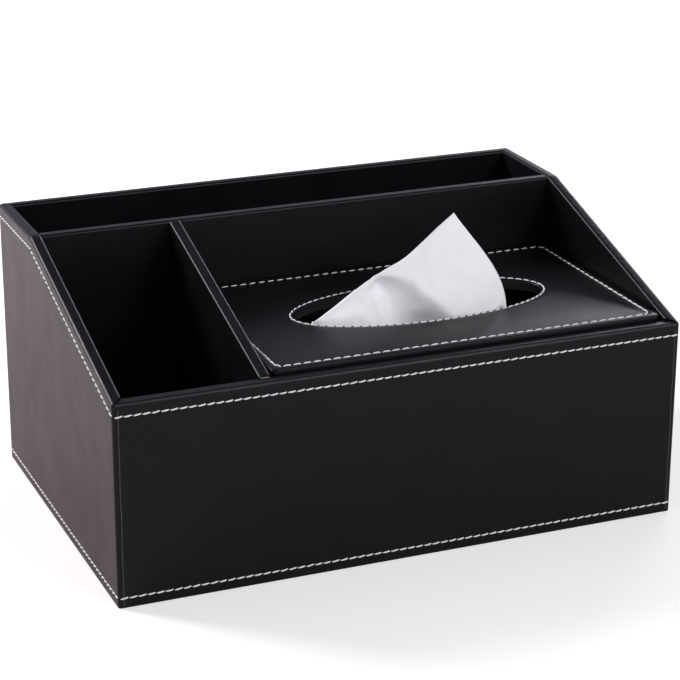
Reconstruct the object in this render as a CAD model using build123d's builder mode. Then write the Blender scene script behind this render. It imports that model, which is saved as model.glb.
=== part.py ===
"""Desk tissue box with a tablet slot and a remote compartment.

Fibreboard panels are glued into a box with two dividers, and every panel is wrapped in black
leather. A loose lid with a long oval opening drops into the tissue compartment and lies on two
wooden strips. Sizes are in millimetres. X runs to the right, Y to the back and Z up. The origin
is the middle of the underside.
"""

from build123d import *
import os
from math import cos, radians, sin

os.makedirs("parts", exist_ok=True)

# ---- Driving dimensions ----------------------------------------------------------------------

# The whole box
width = 275.0                # outside, left to right
depth = 183.0                # outside, front to back
back_height = 133.5          # top of the back, and of the sides beside the tablet slot
front_height = 96.0          # top of the front wall, where the sloping sides end

# Sheet materials
wall_board = 4.0             # fibreboard of the upright panels
base_board_thickness = 4.0
lid_board_thickness = 4.0
leather = 0.8                # wrapped over every panel
underside_cloth = 0.8        # glued under the base, level with the leather turned in round it
turn_in = 10.0               # leather turned in under the base

# Compartments, measured clear between the leather faces
slot_room = 46.0             # tablet slot, front to back
remote_room = 62.5           # remote compartment, left to right
divider_drop = 0.5           # dividers' tops below the tops of the sides

# Rounded edges
board_edge_radius = 1.4      # eased top edges on the outside of the wall boards
inner_edge_radius = 1.0      # leather's top edges inside the compartments
divider_edge_radius = 1.3
corner_radius = 2.0          # upright corners of the box
kink_radius = 10.0           # where the sides turn from level to sloping

# Lid
lid_gap = 1.0                # round the lid, to the walls and dividers
lid_proud = 2.8              # lid's top above the front wall
lid_corner_radius = 3.0
lid_edge_radius = 1.4
lid_turn_in = 8.0            # leather turned in under the lid's outer edge
rim_turn_in = 5.0            # leather turned in under the edge of the opening
opening_length = 126.2       # long oval opening, left to right
opening_width = 51.6
rest_width = 6.0             # wooden strips that carry the lid
rest_height = 8.0

# Tissues
stack_end_gap = 8.0          # stack to the compartment's ends, clear of the strips
stack_side_gap = 8.0         # stack to the front wall and the long divider
stack_headroom = 28.0        # stack's top to the underside of the lid, some tissues used
stack_fold_radius = 3.0      # long folded edges of the stack
sheet_thickness = 1.2        # the drawn-up sheet, two plies lightly crumpled
sheet_clearance = 1.2        # drawn-up sheet to the edge of the opening
sheet_left_angle = 196.0     # where round the opening the sheet starts, turns and ends
sheet_front_angle = 262.0
sheet_right_angle = 310.0
sheet_belly_rise = 15.0      # a first section above the lid, where the right side bulges
sheet_belly_left = (-35.0, -6.5)
sheet_belly_front = (6.0, -19.5)
sheet_belly_right = (38.0, -8.0)
sheet_neck_rise = 29.0       # a second one, half way to the peak
sheet_neck_left = (-10.0, -5.0)
sheet_neck_front = (12.0, -12.0)
sheet_neck_right = (27.5, -5.0)
sheet_peak_rise = 43.0       # and the peak
sheet_peak_left = (13.9, -3.6)
sheet_peak_front = (15.6, -4.6)
sheet_peak_right = (17.4, -3.6)

# ---- Places worked out from them -------------------------------------------------------------

wall = wall_board + 2 * leather
outer_edge_radius = board_edge_radius + leather
left_x, right_x = -width / 2, width / 2
front_y, back_y = -depth / 2, depth / 2
inner_left_x, inner_right_x = left_x + wall, right_x - wall
inner_front_y, inner_back_y = front_y + wall, back_y - wall

board_foot = underside_cloth                     # underside of every board
base_top = board_foot + base_board_thickness
floor_top = base_top + leather

divider_back_y = inner_back_y - slot_room
divider_front_y = divider_back_y - wall
divider_top = back_height - divider_drop
kink_y = divider_front_y                         # the slope starts at the long divider
remote_right_x = inner_left_x + remote_room
tissue_left_x = remote_right_x + wall

tissue_mid_x = (tissue_left_x + inner_right_x) / 2
tissue_mid_y = (inner_front_y + divider_front_y) / 2

lid_top = front_height + lid_proud
lid_board_top = lid_top - leather
lid_board_foot = lid_board_top - lid_board_thickness
lid_bottom = lid_board_foot - leather
lid_length = inner_right_x - tissue_left_x - 2 * lid_gap
lid_width = divider_front_y - inner_front_y - 2 * lid_gap
stack_top = lid_bottom - stack_headroom


def side_shape(inset, front_end, back_end):
    """A panel seen from the side: level at the back, then sloping down to the front.

    Its top lies inset below the tops of the side walls, and its ends are cut off upright.
    """
    with BuildSketch() as shape:
        with BuildLine():
            Polyline(
                (front_y, -inset),
                (back_y, -inset),
                (back_y, back_height),
                (kink_y, back_height),
                (front_y, front_height),
                close=True,
            )
        make_face()
        fillet(shape.vertices().sort_by_distance((kink_y, back_height))[0], kink_radius)
        if inset > 0:
            offset(amount=-inset, kind=Kind.INTERSECTION)
        with Locations(((front_end + back_end) / 2, back_height / 2)):
            Rectangle(back_end - front_end, back_height, mode=Mode.INTERSECT)
    return shape.sketch


def upper_edges(part):
    """Edges that run along a panel's top, below which its upright edges have their middles."""
    return part.edges().filter_by(lambda edge: edge.center().Z > front_height - wall)


def sheet_band(rise, left, front, right):
    """One level of the drawn-up sheet: a thin bowed band, placed from the opening's middle."""
    ply = Vector(0, sheet_thickness)
    middle = Vector(tissue_mid_x, tissue_mid_y)
    start, bow, end = (middle + Vector(*point) for point in (left, front, right))
    with BuildSketch(Plane.XY.offset(lid_top + rise)) as band:
        with BuildLine():
            ThreePointArc(start, bow, end)
            Line(end, end + ply)
            ThreePointArc(end + ply, bow + ply, start + ply)
            Line(start + ply, start)
        make_face()
    return band.sketch


# ---- Boards ----------------------------------------------------------------------------------

with BuildPart() as base_board:
    with BuildSketch(Plane.XY.offset(board_foot)):
        Rectangle(width - 2 * (leather + wall_board), depth - 2 * (leather + wall_board))
    extrude(amount=base_board_thickness)
base_board.part.label = "base_board"

with BuildPart() as front_board:
    with BuildSketch(Plane.XY.offset(board_foot)):
        with Locations((0, front_y + leather + wall_board / 2)):
            Rectangle(width - 2 * leather, wall_board)
    extrude(amount=front_height - leather - board_foot)
    fillet(front_board.edges().filter_by(Axis.X).group_by(Axis.Z)[-1].sort_by(Axis.Y)[0],
           board_edge_radius)
front_board.part.label = "front_board"

with BuildPart() as back_board:
    with BuildSketch(Plane.XY.offset(board_foot)):
        with Locations((0, back_y - leather - wall_board / 2)):
            Rectangle(width - 2 * leather, wall_board)
    extrude(amount=back_height - leather - board_foot)
    fillet(back_board.edges().filter_by(Axis.X).group_by(Axis.Z)[-1].sort_by(Axis.Y)[-1],
           board_edge_radius)
back_board.part.label = "back_board"

with BuildPart() as left_side_board:
    with BuildSketch(Plane.YZ.offset(left_x + leather)):
        add(side_shape(leather, front_y + leather + wall_board, back_y - leather - wall_board))
    extrude(amount=wall_board)
    split(bisect_by=Plane.XY.offset(board_foot))
    top = upper_edges(left_side_board).filter_by(Axis.X, reverse=True)
    fillet(top.filter_by(Axis.Z, reverse=True).group_by(Axis.X)[0], board_edge_radius)
left_side_board.part.label = "left_side_board"

with BuildPart() as right_side_board:
    mirror(left_side_board.part, about=Plane.YZ)
right_side_board.part.label = "right_side_board"

with BuildPart() as slot_divider_board:
    with BuildSketch(Plane.XY.offset(base_top)):
        with Locations((0, divider_front_y + wall / 2)):
            Rectangle(inner_right_x - inner_left_x, wall_board)
    extrude(amount=divider_top - leather - base_top)
slot_divider_board.part.label = "slot_divider_board"

with BuildPart() as remote_divider_board:
    with BuildSketch(Plane.YZ.offset(remote_right_x + leather)):
        add(side_shape(divider_drop + leather, inner_front_y, divider_front_y))
    extrude(amount=wall_board)
    split(bisect_by=Plane.XY.offset(base_top))
remote_divider_board.part.label = "remote_divider_board"

# ---- Leather over the walls ------------------------------------------------------------------
#
# Each sheet covers its wall outside, over the top and down the inside to the base, and is turned
# in under the base. The sheets meet in mitres at the upright corners.

mitre_front = Plane(origin=(left_x, front_y, 0), z_dir=(-1, 1, 0))
mitre_back = Plane(origin=(left_x, back_y, 0), z_dir=(-1, -1, 0))

with BuildPart() as left_side_cover:
    with BuildSketch(Plane.YZ.offset(left_x)):
        add(side_shape(0, front_y, back_y))
    extrude(amount=wall)
    fillet(upper_edges(left_side_cover).group_by(Axis.X)[0], outer_edge_radius)
    fillet(upper_edges(left_side_cover).group_by(Axis.X)[-1], inner_edge_radius)
    with BuildSketch(Plane.XY):
        with Locations((left_x, 0)):
            Rectangle(turn_in, depth, align=(Align.MIN, Align.CENTER))
    extrude(amount=leather)
    with BuildSketch(Plane.XY):
        RectangleRounded(width, depth, corner_radius)
    extrude(amount=back_height, mode=Mode.INTERSECT)
    split(bisect_by=mitre_front)
    split(bisect_by=mitre_back)
    add([left_side_board.part, front_board.part, back_board.part, base_board.part],
        mode=Mode.SUBTRACT)
left_side_cover.part.label = "left_side_cover"

with BuildPart() as right_side_cover:
    mirror(left_side_cover.part, about=Plane.YZ)
right_side_cover.part.label = "right_side_cover"

with BuildPart() as front_cover:
    with BuildSketch(Plane.XY):
        with Locations((0, front_y)):
            Rectangle(width, wall, align=(Align.CENTER, Align.MIN))
    extrude(amount=front_height)
    rim = front_cover.edges().filter_by(Axis.X).group_by(Axis.Z)[-1].sort_by(Axis.Y)
    fillet(rim[0], outer_edge_radius)
    fillet(rim[-1], inner_edge_radius)
    with BuildSketch(Plane.XY):
        with Locations((0, front_y)):
            Rectangle(width, turn_in, align=(Align.CENTER, Align.MIN))
    extrude(amount=leather)
    with BuildSketch(Plane.XY):
        RectangleRounded(width, depth, corner_radius)
    extrude(amount=back_height, mode=Mode.INTERSECT)
    split(bisect_by=mitre_front, keep=Keep.BOTTOM)
    split(bisect_by=Plane(origin=(right_x, front_y, 0), z_dir=(1, 1, 0)), keep=Keep.BOTTOM)
    add([front_board.part, left_side_board.part, right_side_board.part, base_board.part],
        mode=Mode.SUBTRACT)
front_cover.part.label = "front_cover"

with BuildPart() as back_cover:
    with BuildSketch(Plane.XY):
        with Locations((0, back_y)):
            Rectangle(width, wall, align=(Align.CENTER, Align.MAX))
    extrude(amount=back_height)
    rim = back_cover.edges().filter_by(Axis.X).group_by(Axis.Z)[-1].sort_by(Axis.Y)
    fillet(rim[-1], outer_edge_radius)
    fillet(rim[0], inner_edge_radius)
    with BuildSketch(Plane.XY):
        with Locations((0, back_y)):
            Rectangle(width, turn_in, align=(Align.CENTER, Align.MAX))
    extrude(amount=leather)
    with BuildSketch(Plane.XY):
        RectangleRounded(width, depth, corner_radius)
    extrude(amount=back_height, mode=Mode.INTERSECT)
    split(bisect_by=mitre_back, keep=Keep.BOTTOM)
    split(bisect_by=Plane(origin=(right_x, back_y, 0), z_dir=(1, -1, 0)), keep=Keep.BOTTOM)
    add([back_board.part, left_side_board.part, right_side_board.part, base_board.part],
        mode=Mode.SUBTRACT)
back_cover.part.label = "back_cover"

# ---- Leather over the dividers and floors, and the cloth underneath --------------------------

with BuildPart() as slot_divider_cover:
    with BuildSketch(Plane.XY.offset(base_top)):
        with Locations((0, divider_front_y + wall / 2)):
            Rectangle(inner_right_x - inner_left_x, wall)
    extrude(amount=divider_top - base_top)
    fillet(slot_divider_cover.edges().filter_by(Axis.X).group_by(Axis.Z)[-1],
           divider_edge_radius)
    add(slot_divider_board.part, mode=Mode.SUBTRACT)
slot_divider_cover.part.label = "slot_divider_cover"

with BuildPart() as remote_divider_cover:
    with BuildSketch(Plane.YZ.offset(remote_right_x)):
        add(side_shape(divider_drop, inner_front_y, divider_front_y))
    extrude(amount=wall)
    split(bisect_by=Plane.XY.offset(base_top))
    slope = upper_edges(remote_divider_cover).filter_by(Axis.X, reverse=True)
    fillet(slope, divider_edge_radius)
    add(remote_divider_board.part, mode=Mode.SUBTRACT)
remote_divider_cover.part.label = "remote_divider_cover"

with BuildPart() as slot_floor_lining:
    with BuildSketch(Plane.XY.offset(base_top)):
        with Locations((0, divider_back_y)):
            Rectangle(inner_right_x - inner_left_x, slot_room, align=(Align.CENTER, Align.MIN))
    extrude(amount=leather)
slot_floor_lining.part.label = "slot_floor_lining"

with BuildPart() as remote_floor_lining:
    with BuildSketch(Plane.XY.offset(base_top)):
        with Locations((inner_left_x, inner_front_y)):
            Rectangle(remote_room, divider_front_y - inner_front_y,
                      align=(Align.MIN, Align.MIN))
    extrude(amount=leather)
remote_floor_lining.part.label = "remote_floor_lining"

with BuildPart() as tissue_floor_lining:
    with BuildSketch(Plane.XY.offset(base_top)):
        with Locations((tissue_left_x, inner_front_y)):
            Rectangle(inner_right_x - tissue_left_x, divider_front_y - inner_front_y,
                      align=(Align.MIN, Align.MIN))
    extrude(amount=leather)
tissue_floor_lining.part.label = "tissue_floor_lining"

with BuildPart() as underside_sheet:
    with BuildSketch(Plane.XY):
        Rectangle(width - 2 * turn_in, depth - 2 * turn_in)
    extrude(amount=underside_cloth)
underside_sheet.part.label = "underside_sheet"

# ---- Lid -------------------------------------------------------------------------------------

with BuildPart() as lid_rest_left:
    with BuildSketch(Plane.XY.offset(lid_bottom - rest_height)):
        with Locations((tissue_left_x, tissue_mid_y)):
            Rectangle(rest_width, divider_front_y - inner_front_y,
                      align=(Align.MIN, Align.CENTER))
    extrude(amount=rest_height)
lid_rest_left.part.label = "lid_rest_left"

with BuildPart() as lid_rest_right:
    with BuildSketch(Plane.XY.offset(lid_bottom - rest_height)):
        with Locations((inner_right_x, tissue_mid_y)):
            Rectangle(rest_width, divider_front_y - inner_front_y,
                      align=(Align.MAX, Align.CENTER))
    extrude(amount=rest_height)
lid_rest_right.part.label = "lid_rest_right"

with BuildPart() as lid_board:
    with BuildSketch(Plane.XY.offset(lid_board_foot)):
        with Locations((tissue_mid_x, tissue_mid_y)):
            RectangleRounded(lid_length - 2 * leather, lid_width - 2 * leather,
                             lid_corner_radius - leather)
            Ellipse(opening_length / 2 + leather, opening_width / 2 + leather,
                    mode=Mode.SUBTRACT)
    extrude(amount=lid_board_thickness)
lid_board.part.label = "lid_board"

with BuildPart() as lid_lining:
    with BuildSketch(Plane.XY.offset(lid_bottom)):
        with Locations((tissue_mid_x, tissue_mid_y)):
            Rectangle(lid_length - 2 * lid_turn_in, lid_width - 2 * lid_turn_in)
            Ellipse(opening_length / 2 + rim_turn_in, opening_width / 2 + rim_turn_in,
                    mode=Mode.SUBTRACT)
    extrude(amount=leather)
lid_lining.part.label = "lid_lining"

with BuildPart() as lid_cover:
    with BuildSketch(Plane.XY.offset(lid_bottom)):
        with Locations((tissue_mid_x, tissue_mid_y)):
            RectangleRounded(lid_length, lid_width, lid_corner_radius)
            Ellipse(opening_length / 2, opening_width / 2, mode=Mode.SUBTRACT)
    extrude(amount=lid_top - lid_bottom)
    fillet(lid_cover.edges().group_by(Axis.Z)[-1], lid_edge_radius)
    add([lid_board.part, lid_lining.part], mode=Mode.SUBTRACT)
lid_cover.part.label = "lid_cover"

# ---- Tissues ---------------------------------------------------------------------------------

with BuildPart() as tissue_stack:
    with BuildSketch(Plane.XY.offset(floor_top)):
        with Locations((tissue_mid_x, tissue_mid_y)):
            Rectangle(inner_right_x - tissue_left_x - 2 * stack_end_gap,
                      divider_front_y - inner_front_y - 2 * stack_side_gap)
    extrude(amount=stack_top - floor_top)
    fillet(tissue_stack.edges().filter_by(Axis.X), stack_fold_radius)
tissue_stack.part.label = "tissue_stack"

# The drawn-up sheet stands on the stack, follows the front of the opening and ends in a peak.
base_points = [
    (
        (opening_length / 2 - sheet_clearance) * cos(radians(angle)),
        (opening_width / 2 - sheet_clearance) * sin(radians(angle)),
    )
    for angle in (sheet_left_angle, sheet_front_angle, sheet_right_angle)
]

with BuildPart() as tissue_sheet:
    add(sheet_band(stack_top - lid_top, *base_points))
    add(sheet_band(0, *base_points))
    loft(ruled=True)
    add(sheet_band(0, *base_points))
    add(sheet_band(sheet_belly_rise, sheet_belly_left, sheet_belly_front, sheet_belly_right))
    add(sheet_band(sheet_neck_rise, sheet_neck_left, sheet_neck_front, sheet_neck_right))
    add(sheet_band(sheet_peak_rise, sheet_peak_left, sheet_peak_front, sheet_peak_right))
    loft(ruled=True)
tissue_sheet.part.label = "tissue_sheet"

# ---- Files -----------------------------------------------------------------------------------

pieces = [
    base_board, front_board, back_board, left_side_board, right_side_board,
    slot_divider_board, remote_divider_board,
    front_cover, back_cover, left_side_cover, right_side_cover,
    slot_divider_cover, remote_divider_cover,
    slot_floor_lining, remote_floor_lining, tissue_floor_lining, underside_sheet,
    lid_rest_left, lid_rest_right, lid_board, lid_lining, lid_cover,
    tissue_stack, tissue_sheet,
]
for piece in pieces:
    export_step(piece.part, f"parts/{piece.part.label}.step")
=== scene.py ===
# %% [markdown]
# # A leather desk box with a tissue lid
#
# The real box is made of thin fibreboard panels, wrapped in black artificial leather that is
# stitched with white thread. Its construction is measured and loaded as a fixed frame. This script
# dresses it with leather skins, stitching, tissues and finishes. All lengths are in metres, so `mm`
# keeps small sizes readable.

# %% Load the frame
import math

import bmesh
import bpy
from mathutils import Matrix, Vector, noise


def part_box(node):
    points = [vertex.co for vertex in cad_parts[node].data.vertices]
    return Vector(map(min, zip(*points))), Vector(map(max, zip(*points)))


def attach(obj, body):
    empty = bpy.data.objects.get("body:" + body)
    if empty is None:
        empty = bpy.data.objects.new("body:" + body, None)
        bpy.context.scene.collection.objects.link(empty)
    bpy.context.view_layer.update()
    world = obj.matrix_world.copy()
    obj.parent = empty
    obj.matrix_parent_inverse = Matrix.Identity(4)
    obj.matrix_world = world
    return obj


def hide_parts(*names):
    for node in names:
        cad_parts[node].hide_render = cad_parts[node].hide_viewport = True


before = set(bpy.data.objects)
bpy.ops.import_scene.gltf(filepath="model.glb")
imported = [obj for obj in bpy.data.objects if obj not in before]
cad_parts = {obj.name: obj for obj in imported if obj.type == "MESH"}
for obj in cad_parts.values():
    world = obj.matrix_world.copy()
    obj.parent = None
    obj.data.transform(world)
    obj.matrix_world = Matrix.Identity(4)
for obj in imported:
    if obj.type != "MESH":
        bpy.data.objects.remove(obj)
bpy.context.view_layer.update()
mm = 0.001
print("nodes in the frame:", len(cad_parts))

# %% [markdown]
# ## Reading sizes from the frame
#
# Places come from the boxes of the loaded pieces. Only sizes that the frame doesn't hold, such as
# the stitches, are written as numbers.

# %% Sizes read from the frame
left_x, right_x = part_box("left_side_cover")[0].x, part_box("right_side_cover")[1].x
front_y, back_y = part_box("front_cover")[0].y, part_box("back_cover")[1].y
front_top, back_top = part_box("front_cover")[1].z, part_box("back_cover")[1].z
divider_low, divider_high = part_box("slot_divider_cover")
wall = divider_high.y - divider_low.y
inner_x, inner_front_y, inner_back_y = right_x - wall, front_y + wall, back_y - wall
floor_low, floor_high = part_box("tissue_floor_lining")
leather = floor_high.z - floor_low.z
kink_y = divider_low.y
slope = math.atan2(back_top - front_top, kink_y - front_y)
lid_low, lid_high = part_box("lid_cover")
lid_middle, lid_half = (lid_low + lid_high) / 2, (lid_high - lid_low) / 2
print(f"wall {wall / mm:.1f} mm, leather {leather / mm:.1f} mm")
print(f"slope {math.degrees(slope):.1f} degrees")

# %% [markdown]
# ## Helpers for working by hand in code
#
# An operator acts on whatever is selected. So each step starts from an empty selection, enters edit
# mode on one piece, and picks faces or edges by where they are or which way they point.

# %% Selection helpers
def clear_selection():
    """Leaves edit mode and selects nothing."""
    if bpy.context.object and bpy.context.object.mode != "OBJECT":
        bpy.ops.object.mode_set(mode="OBJECT")
    bpy.ops.object.select_all(action="DESELECT")


def only(piece):
    """Selects one piece and nothing else, and makes it the active one."""
    clear_selection()
    piece.select_set(True)
    bpy.context.view_layer.objects.active = piece


def pick(piece, faces=None, edges=None, verts=None):
    """Enters edit mode, selects the faces, edges or vertices that pass a test, and counts them."""
    only(piece)
    bpy.ops.object.mode_set(mode="EDIT")
    bpy.ops.mesh.select_all(action="DESELECT")
    kind = "FACE" if faces else "EDGE" if edges else "VERT"
    bpy.ops.mesh.select_mode(type=kind)
    shape = bmesh.from_edit_mesh(piece.data)
    found = 0
    for item in {"FACE": shape.faces, "EDGE": shape.edges, "VERT": shape.verts}[kind]:
        if (faces or edges or verts)(item):
            item.select_set(True)
            found += 1
    bmesh.update_edit_mesh(piece.data)
    return found


def everything(item):
    """A test that every face or edge passes."""
    return True


def middle(edge):
    return (edge.verts[0].co + edge.verts[1].co) / 2


def done(piece, name):
    """Leaves edit mode, applies place, turn and size, and names the finished piece."""
    only(piece)
    bpy.ops.object.transform_apply(location=True, rotation=True, scale=True)
    piece.name = name
    piece.data.name = name
    return piece


def apply_modifiers(piece):
    only(piece)
    for modifier in list(piece.modifiers):
        bpy.ops.object.modifier_apply(modifier=modifier.name)


# %% [markdown]
# ## Camera
#
# The camera stands at the front left and looks down at the box through a long lens. Its place,
# heading, downward tilt and small roll were found by fitting the box's edges.

# %% Camera
image_size = 680
focal_pixels = 2268.04
camera_place = Vector((-0.3879, -0.94715, 0.45258))
heading = math.radians(22.493)
tilt = math.radians(20.251)
roll = math.radians(0.182)

camera_data = bpy.data.cameras.new("camera")
camera_data.sensor_width = 36.0
camera_data.lens = focal_pixels / image_size * camera_data.sensor_width
camera = bpy.data.objects.new("camera", camera_data)
bpy.context.scene.collection.objects.link(camera)
aim = Matrix.Rotation(-heading, 4, "Z") @ Matrix.Rotation(math.radians(90) - tilt, 4, "X")
camera.matrix_world = Matrix.Translation(camera_place) @ aim @ Matrix.Rotation(roll, 4, "Z")
bpy.context.scene.camera = camera
bpy.context.scene.view_settings.view_transform = "Standard"
print(f"lens {camera_data.lens:.1f} mm")

# %% [markdown]
# ## Floor
#
# A product photo of black leather is mostly a photo of reflections. The walls are dark because
# little light falls on them straight, and the left side is pale because it mirrors the floor at a
# grazing angle. Seen straight the floor is matt white and glows a little, so it is as white as the
# surroundings and keeps the box's soft shadow. Seen in the leather it has a warm tint.

# %% Helpers for shader nodes
def fill(tree, made, values):
    """Links a value that is another node's output to its input, and sets any other."""
    for name, value in values.items():
        if isinstance(value, bpy.types.NodeSocket):
            tree.links.new(value, made.inputs[name])
        else:
            made.inputs[name].default_value = value


def node(tree, kind, values=None, **settings):
    """Makes a shader node and gives back its outputs."""
    made = tree.nodes.new("ShaderNode" + kind)
    for name, value in settings.items():
        setattr(made, name, value)
    fill(tree, made, values or {})
    return made.outputs


# %% A floor that is white to the eye and tinted in reflections
floor_size = 6.0
floor_glow = 0.36
seen_straight, seen_in_leather = (1, 0.99, 0.99, 1), (0.48, 0.12, 0.28, 1)

bpy.ops.mesh.primitive_plane_add(size=floor_size, location=(0, 0, 0))
floor = done(bpy.context.object, "floor")

floor_paint = bpy.data.materials.new("pale_floor")
floor_paint.use_nodes = True
tree = floor_paint.node_tree
tree.nodes.clear()
rays = node(tree, "LightPath")
tint = node(tree, "Mix", {"Factor": rays["Is Glossy Ray"], "A": seen_straight,
                          "B": seen_in_leather}, data_type="RGBA")
seen = node(tree, "Math", {0: rays["Is Camera Ray"], 1: rays["Is Glossy Ray"]},
            operation="MAXIMUM")
lift = node(tree, "Math", {0: seen[0], 1: floor_glow}, operation="MULTIPLY")
glow = node(tree, "Emission", {"Color": tint["Result"], "Strength": lift[0]})
matt = node(tree, "BsdfDiffuse", {"Color": (0.8, 0.8, 0.8, 1)})
both = node(tree, "AddShader", {0: matt[0], 1: glow[0]})
node(tree, "OutputMaterial", {"Surface": both[0]})
floor.data.materials.append(floor_paint)
print("floor:", floor_size, "m wide")

# %% [markdown]
# ## Surroundings
#
# The camera sees plain white. The leather mirrors a cool grey that is dimmer overhead, as in a
# studio with a dark ceiling. All other rays get an even white light, which fills the shadows.

# %% World
fill_light = 0.38
plain_white = (1, 1, 1, 1)
horizon, overhead = (0.5, (0.49, 0.48, 0.62, 1)), (0.75, (0.16, 0.16, 0.18, 1))

world = bpy.data.worlds.new("studio")
bpy.context.scene.world = world
world.use_nodes = True
tree = world.node_tree
tree.nodes.clear()
height = node(tree, "SeparateXYZ", {0: node(tree, "TexCoord")["Generated"]})
ramp = tree.nodes.new("ShaderNodeValToRGB")
fill(tree, ramp, {"Fac": height["Z"]})
for stop, (position, colour) in zip(ramp.color_ramp.elements, (horizon, overhead)):
    stop.position = position
    stop.color = colour
mirrored = node(tree, "Background", {"Color": ramp.outputs["Color"]})
white = node(tree, "Background", {"Color": plain_white})
even = node(tree, "Background", {"Color": plain_white, "Strength": fill_light})
rays = node(tree, "LightPath")
in_leather = node(tree, "MixShader", {"Fac": rays["Is Glossy Ray"], 1: even[0], 2: mirrored[0]})
straight = node(tree, "Math", {0: rays["Is Camera Ray"], 1: rays["Is Transmission Ray"]},
                operation="MAXIMUM")
seen = node(tree, "MixShader", {"Fac": straight[0], 1: in_leather[0], 2: white[0]})
node(tree, "OutputWorld", {"Surface": seen[0]})
print("world nodes:", len(tree.nodes))

# %% [markdown]
# ## Lamps
#
# The lamps are large squares, as studio softboxes are. The strongest stands behind at the left and
# rakes over the floor. The key lamp in front at the right lights the tissue and the front, the one
# behind at the right gives the lid its sheen, and a weak one lifts the thread on the shaded side.

# %% Lamps
def soft_lamp(name, place, size, power, colour=(1, 1, 1), target=(0, 0, 0.08)):
    """A square lamp that faces the box, or another point."""
    data = bpy.data.lights.new(name, "AREA")
    data.shape = "SQUARE"
    data.size = size
    data.energy = power
    data.color = colour
    lamp = bpy.data.objects.new(name, data)
    bpy.context.scene.collection.objects.link(lamp)
    lamp.location = place
    lamp.rotation_euler = (Vector(target) - Vector(place)).to_track_quat("-Z", "Y").to_euler()
    print(f"{name}: {power} W, {size} m wide")


soft_lamp("left_back_lamp", (-1.15, 1.1, 1.05), 0.6, 32, (1.0, 0.92, 0.95), (-0.3, 0.3, 0.0))
soft_lamp("key_lamp", (0.8, -1.7, 1.15), 0.8, 19.5, (0.985, 0.98, 1.0))
soft_lamp("right_back_lamp", (1.4, 1.5, 0.75), 0.7, 11.5, (0.96, 0.94, 1.0))
soft_lamp("front_left_lamp", (-0.9, -1.7, 1.2), 1.0, 4)

# %% [markdown]
# ## Black leather
#
# Artificial leather is a thin plastic skin pressed with a fine grain. It is close to black, with a
# satin sheen that grows at grazing angles. The grain is a bump from small cells, a second, larger
# noise makes the panel slightly uneven, and the roughness varies a little, as it does where hands
# have rubbed it. Everything reads Object coordinates, so the grain has its real size.

# %% Helpers for finishes
def new_finish(name):
    """A material, its nodes, and the Object coordinates."""
    finish = bpy.data.materials.new(name)
    finish.use_nodes = True
    return finish, finish.node_tree, node(finish.node_tree, "TexCoord")["Object"]


def specks(tree, where, scale, detail=3.0, rough=0.5):
    """A noise; its scale is in specks per metre."""
    return node(tree, "TexNoise", {"Vector": where, "Scale": scale, "Detail": detail,
                                   "Roughness": rough})["Fac"]


def bump(tree, heights, distance, strength=1.0, under=None):
    """A bump, laid over the one under it."""
    values = {"Height": heights, "Distance": distance, "Strength": strength}
    if under is not None:
        values["Normal"] = under
    return node(tree, "Bump", values)["Normal"]


def dress(tree, normal, value, dark, light, others):
    """Gives the shader its bump, a colour from dark to light by a value, and other values."""
    colour = node(tree, "Mix", {"Factor": value, "A": (*dark, 1), "B": (*light, 1)},
                  data_type="RGBA")["Result"]
    fill(tree, tree.nodes["Principled BSDF"], {"Normal": normal, "Base Color": colour, **others})


# %% Leather finishes
cells_per_metre, pores_per_metre = 1400, 2600
rubbed_smoother, rubbed_rougher = 0.06, 0.08


def leather_finish(name, dark, light, roughness):
    """Leather with an uneven panel, a grain of small cells and fine pores."""
    finish, tree, where = new_finish(name)
    cells = node(tree, "TexVoronoi", {"Vector": where, "Scale": cells_per_metre})["Distance"]
    pores = specks(tree, where, pores_per_metre, 2.0)
    rubbed = specks(tree, where, 45, 4.0, 0.6)
    normal = bump(tree, specks(tree, where, 26, 2.0), 0.9 * mm, 0.5)
    normal = bump(tree, cells, 0.05 * mm, 0.6, normal)
    normal = bump(tree, pores, 0.02 * mm, 0.6, normal)
    worn = node(tree, "MapRange", {"Value": rubbed, "To Min": roughness - rubbed_smoother,
                                   "To Max": roughness + rubbed_rougher})["Result"]
    dress(tree, normal, rubbed, dark, light, {"Roughness": worn, "Specular IOR Level": 0.15})
    return finish


black_leather = leather_finish("black_leather", (0.0025, 0.0025, 0.0034),
                               (0.005, 0.005, 0.007), 0.35)
lining_leather = leather_finish("lining_leather", (0.003, 0.003, 0.0035),
                                (0.006, 0.006, 0.007), 0.52)
print("leathers:", black_leather.name, lining_leather.name)

# %% [markdown]
# ## Thread, tissue, board, wood and cloth
#
# The small parts need less. For most of them one noise both shades the colour and raises the
# surface a little. Wood has its grain along one direction, so its noise is squeezed across. The
# cloth's pile has a sheen. Tissue gets two layers, soft clouds and fine fibres.

# %% Finishes made from one noise, and tissue paper
def grained_finish(name, grain, depth, dark, light, roughness, squeeze=None, sheen=0.0):
    """Grain is a noise's scale, detail and roughness; depth is a bump's distance and strength."""
    finish, tree, where = new_finish(name)
    if squeeze:
        where = node(tree, "Mapping", {"Vector": where, "Scale": squeeze})["Vector"]
    value = specks(tree, where, *grain)
    dress(tree, bump(tree, value, *depth), value, dark, light,
          {"Roughness": roughness, "Sheen Weight": sheen})
    return finish


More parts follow.
